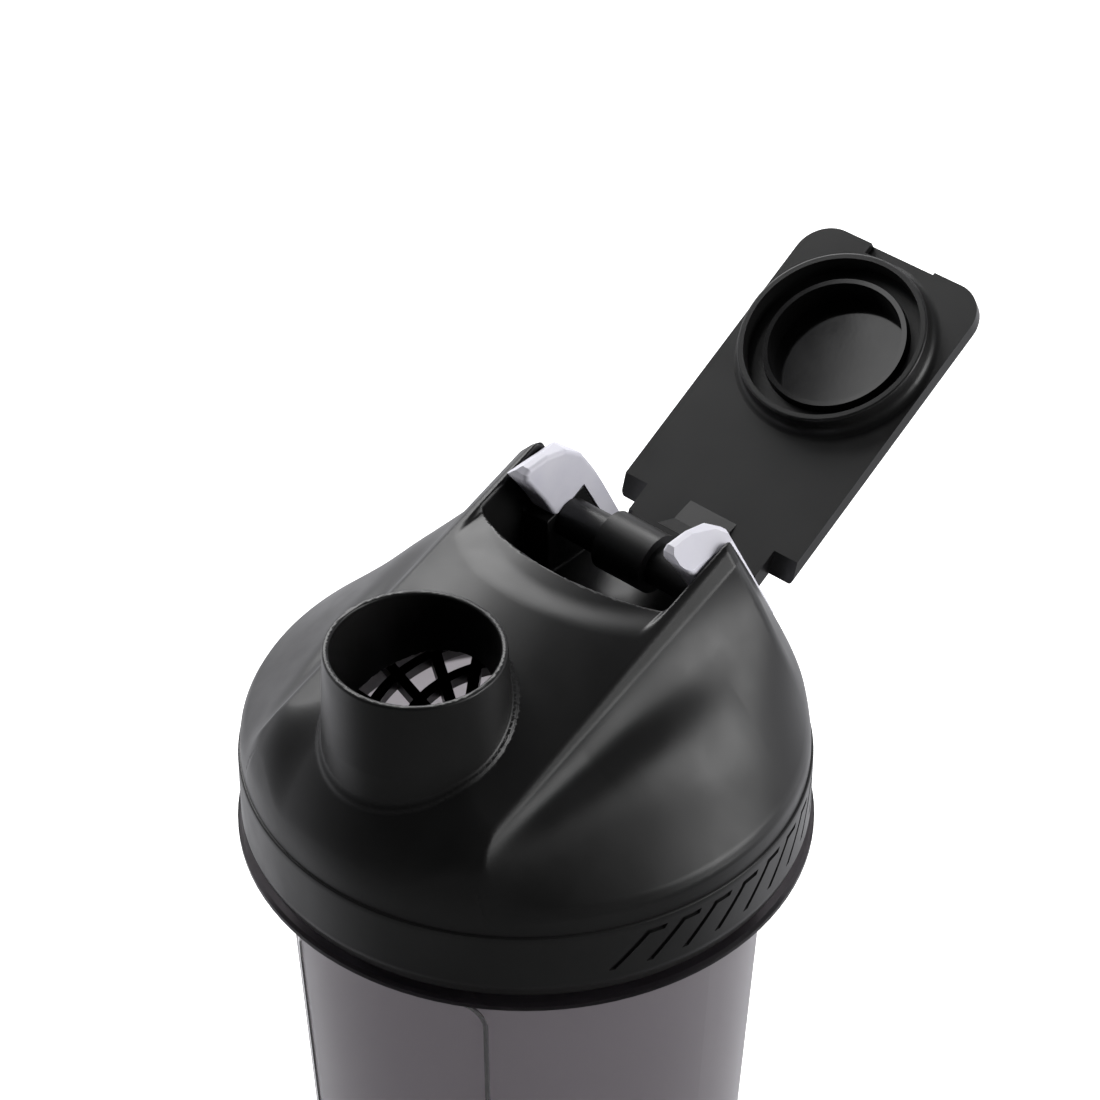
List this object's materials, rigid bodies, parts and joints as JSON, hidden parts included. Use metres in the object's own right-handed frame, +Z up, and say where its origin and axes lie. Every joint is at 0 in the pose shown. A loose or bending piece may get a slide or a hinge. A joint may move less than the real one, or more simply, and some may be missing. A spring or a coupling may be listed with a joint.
{
  "type": "shaker bottle",
  "caption": "Tapered shaker cup with a screw lid, front drinking spout over a strainer, and a flip cap on a rear hinge.",
  "frame": {"origin": "centre of the cup's foot, on the surface that it stands on", "axes": "+Z up along the cup's axis, -Y to the front where the spout is, +Y to the hinge at the back, X along the hinge line"},
  "size_m": [0.0994, 0.1522, 0.2285],
  "materials": {
    "smoke_plastic": "smoke-tinted translucent moulded plastic, semi-gloss",
    "black_plastic": "satin moulded black plastic",
    "cap_plastic": "satin moulded black plastic",
    "strainer_plastic": "satin moulded black plastic",
    "gloss_black": "polished black plastic",
    "white_plastic": "smooth cool-white plastic",
    "seal_rubber": "matt silicone",
    "pin_steel": "plain turned steel"
  },
  "bodies": {
    "cup": {"cup": "smoke_plastic"},
    "seal": {"lid_seal": "seal_rubber"},
    "lid": {"lid_shell": "black_plastic", "strainer": "strainer_plastic", "hinge_pin": "pin_steel", "hinge_cover_left": "white_plastic", "hinge_cover_right": "white_plastic"},
    "cap": {"flip_cap": "cap_plastic", "spout_plug": "gloss_black"}
  },
  "joints": [
    {"name": "lid_lift", "type": "slide", "parent": "cup", "child": "seal", "axis": [0, 0, 1], "range_m": [0, 0.00505]},
    {"name": "lid_turn", "type": "hinge", "parent": "seal", "child": "lid", "pos_m": [0, 0, 0.18], "axis": [0, 0, 1], "range_deg": [0, 450]},
    {"name": "cap_hinge", "type": "hinge", "parent": "lid", "child": "cap", "pos_m": [0, 0.0282, 0.2037], "axis": [1, 0, 0], "range_deg": [0, 152.5]}
  ],
  "couplings": [
    {"joint": "lid_lift", "follows": "lid_turn", "m_per_rad": 0.00063662}
  ]
}
